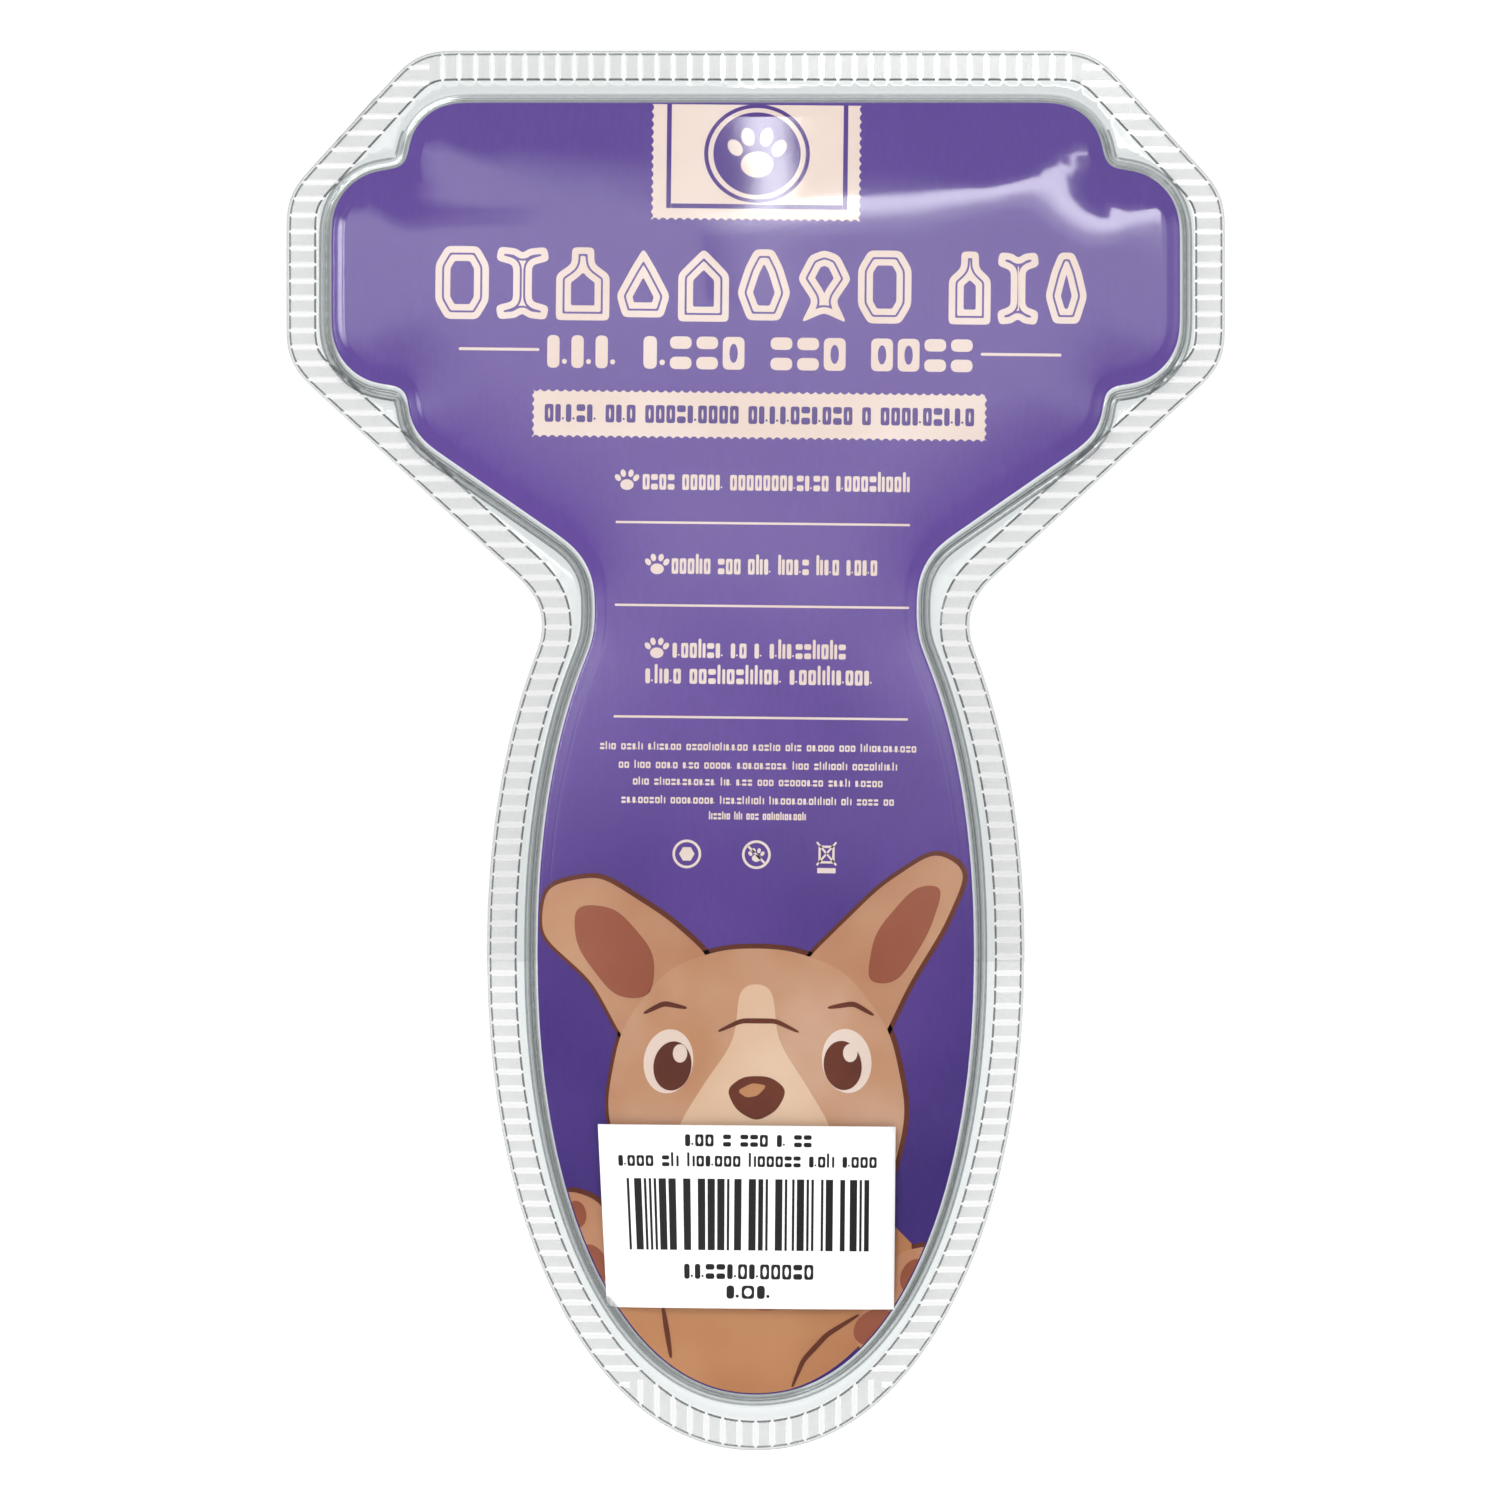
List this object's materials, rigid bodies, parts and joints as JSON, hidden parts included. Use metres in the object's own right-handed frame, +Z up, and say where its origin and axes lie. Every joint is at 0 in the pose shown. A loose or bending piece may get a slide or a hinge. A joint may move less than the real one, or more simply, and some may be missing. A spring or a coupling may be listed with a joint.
{
  "type": "grooming kit in a clear clamshell pack",
  "caption": "Sealed clear clamshell pack in a T shape with a printed back card and label, holding a gel-grip dematting rake, a steel comb and nail clippers.",
  "frame": {"origin": "on the back face of the flange, at the middle of the top seal band", "axes": "+Z up the pack towards its wide head, +Y from the back panel to the front bubble, +X to the right seen from the back"},
  "size_m": [0.164, 0.0491, 0.2447],
  "materials": {
    "clear_sheet": "clear thermoformed sheet, glossy, with a frosted ribbed weld",
    "printed_card": "printed and coated",
    "label_paper": "matte thermal paper",
    "dark_plastic": "fine moulded texture",
    "accent_plastic": "satin moulded",
    "gel_grip": "soft translucent gel",
    "soft_grip": "soft-touch, ribbed",
    "steel": "brushed",
    "chromed_steel": "polished",
    "screw_steel": "turned"
  },
  "bodies": {
    "root": {"back_shell": "clear_sheet", "card_insert": "printed_card", "barcode_label": "label_paper"},
    "front": {"front_shell": "clear_sheet"},
    "rake": {"rake_core": "dark_plastic", "rake_grip": "gel_grip", "rake_collar": "accent_plastic", "rake_end_cap": "dark_plastic", "rake_head_front": "dark_plastic", "rake_head_back": "accent_plastic", "rake_coarse_teeth": "steel", "rake_fine_teeth": "steel", "rake_rods": "steel", "rake_screws": "screw_steel"},
    "comb": {"comb_spine": "chromed_steel", "comb_coarse_teeth": "chromed_steel", "comb_fine_teeth": "chromed_steel", "comb_end_bars": "chromed_steel"},
    "clipper": {"clipper_fixed_blade": "steel", "clipper_fixed_grip": "soft_grip", "clipper_pivot": "screw_steel", "clipper_spring": "steel", "clipper_guard_screw": "screw_steel", "clipper_lock_screw": "screw_steel"},
    "clipper_lever": {"clipper_moving_blade": "steel", "clipper_moving_grip": "soft_grip"},
    "clipper_stop": {"clipper_guard": "steel"},
    "clipper_catch": {"clipper_lock": "steel"}
  },
  "joints": [
    {"name": "pack_open", "type": "slide", "parent": "root", "child": "front", "axis": [0, 1, 0], "range_m": [0, 0.18]},
    {"name": "rake_lift", "type": "slide", "parent": "root", "child": "rake", "axis": [0, 1, 0], "range_m": [0, 0.108]},
    {"name": "comb_lift", "type": "slide", "parent": "root", "child": "comb", "axis": [0, 1, 0], "range_m": [0, 0.045]},
    {"name": "clipper_lift", "type": "slide", "parent": "root", "child": "clipper", "axis": [0, 1, 0], "range_m": [0, 0.054]},
    {"name": "clipper_squeeze", "type": "hinge", "parent": "clipper", "child": "clipper_lever", "pos_m": [0, 0, -0.13], "axis": [0, 1, 0], "range_deg": [0, 14], "stiffness_Nm_per_rad": 0.4, "deforming": ["clipper_spring"]},
    {"name": "guard_swing", "type": "hinge", "parent": "clipper", "child": "clipper_stop", "pos_m": [0.00749, 0, -0.12236], "axis": [0, 1, 0], "range_deg": [0, 80]},
    {"name": "lock_swing", "type": "hinge", "parent": "clipper", "child": "clipper_catch", "pos_m": [-0.0177, 0, -0.2044], "axis": [0, 1, 0], "range_deg": [0, 97]}
  ],
  "couplings": [
    {"joint": "rake_lift", "follows": "pack_open", "ratio": 0.6},
    {"joint": "comb_lift", "follows": "pack_open", "ratio": 0.25},
    {"joint": "clipper_lift", "follows": "pack_open", "ratio": 0.3}
  ]
}
